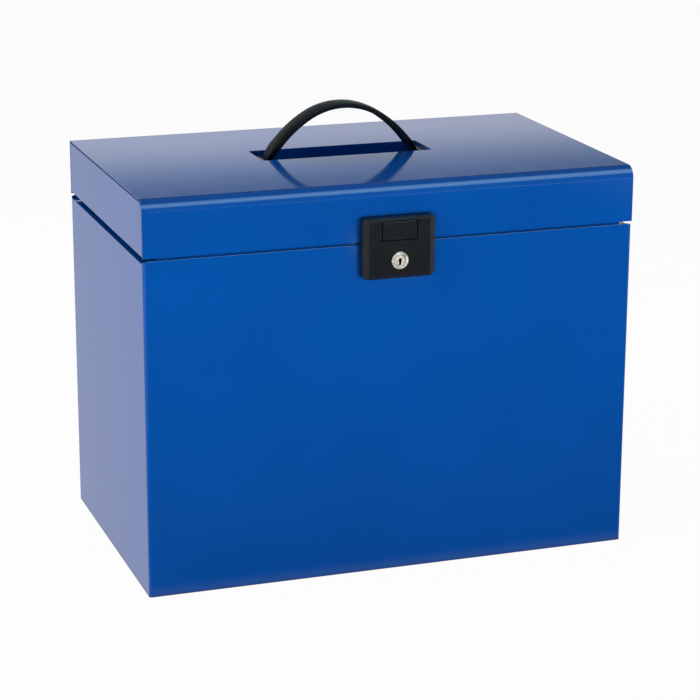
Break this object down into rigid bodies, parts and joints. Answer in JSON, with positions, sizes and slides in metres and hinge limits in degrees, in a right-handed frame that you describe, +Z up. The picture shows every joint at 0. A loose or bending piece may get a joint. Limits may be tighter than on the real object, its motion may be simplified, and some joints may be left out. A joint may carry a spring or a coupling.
{
  "type": "portable file box",
  "caption": "Portable sheet steel file box with rails for hanging files, a hinged lid with a tilting carrying handle in a recess, and a push-button latch with a key lock.",
  "frame": {"origin": "middle of the underside of the body, on the surface that it stands on", "axes": "+Z up, -Y towards the front with the latch, +X to the right seen from the front"},
  "size_m": [0.375, 0.2411, 0.3328],
  "materials": {
    "blue_enamel": "gloss stoved enamel",
    "black_plastic": "satin moulded",
    "nickel": "bright nickel plate",
    "zinc_steel": "zinc plate"
  },
  "bodies": {
    "box": {"body_wrap": "blue_enamel", "bottom_pan": "blue_enamel", "rail_left": "blue_enamel", "rail_right": "blue_enamel", "front_neck": "blue_enamel", "hinge_body_leaf_left": "zinc_steel", "hinge_body_leaf_right": "zinc_steel", "hinge_pins": "zinc_steel", "body_hinge_rivets": "zinc_steel", "latch_housing": "black_plastic", "latch_backplate": "zinc_steel", "latch_screws": "zinc_steel", "lever_pin": "zinc_steel", "catch_spring": "zinc_steel", "lock_barrel": "nickel", "lock_nut": "nickel"},
    "lid": {"lid_wrap": "blue_enamel", "lid_end_left": "blue_enamel", "lid_end_right": "blue_enamel", "lid_striker": "zinc_steel", "hinge_lid_leaf_left": "zinc_steel", "hinge_lid_leaf_right": "zinc_steel", "lid_hinge_rivets": "zinc_steel", "handle_tray": "blue_enamel", "pivot_block_left": "black_plastic", "pivot_block_right": "black_plastic", "block_rivets": "zinc_steel", "handle_pins": "zinc_steel"},
    "handle": {"handle": "black_plastic"},
    "button": {"push_button": "black_plastic"},
    "lever": {"catch_lever": "zinc_steel"},
    "key_plug": {"lock_plug": "nickel", "lock_cam": "zinc_steel", "cam_screw": "zinc_steel"}
  },
  "joints": [
    {"name": "lid_open", "type": "hinge", "parent": "box", "child": "lid", "pos_m": [0, 0.1156, 0.252], "axis": [-1, 0, 0], "range_deg": [0, 180]},
    {"name": "handle_tilt", "type": "hinge", "parent": "lid", "child": "handle", "pos_m": [0, 0.011, 0.2865], "axis": [1, 0, 0], "range_deg": [-39, 39]},
    {"name": "button_press", "type": "slide", "parent": "box", "child": "button", "axis": [0, 1, 0], "range_m": [0, 0.0015], "stiffness_N_per_m": 400, "springref_m": -0.003},
    {"name": "catch_tilt", "type": "hinge", "parent": "box", "child": "lever", "pos_m": [0, -0.1153, 0.263], "axis": [-1, 0, 0], "range_deg": [0, 16], "deforming": ["catch_spring"]},
    {"name": "key_turn", "type": "hinge", "parent": "box", "child": "key_plug", "pos_m": [0, -0.1125, 0.24], "axis": [0, -1, 0], "range_deg": [0, 90]}
  ],
  "couplings": [
    {"joint": "catch_tilt", "follows": "button_press", "rad_per_m": 183.9}
  ]
}
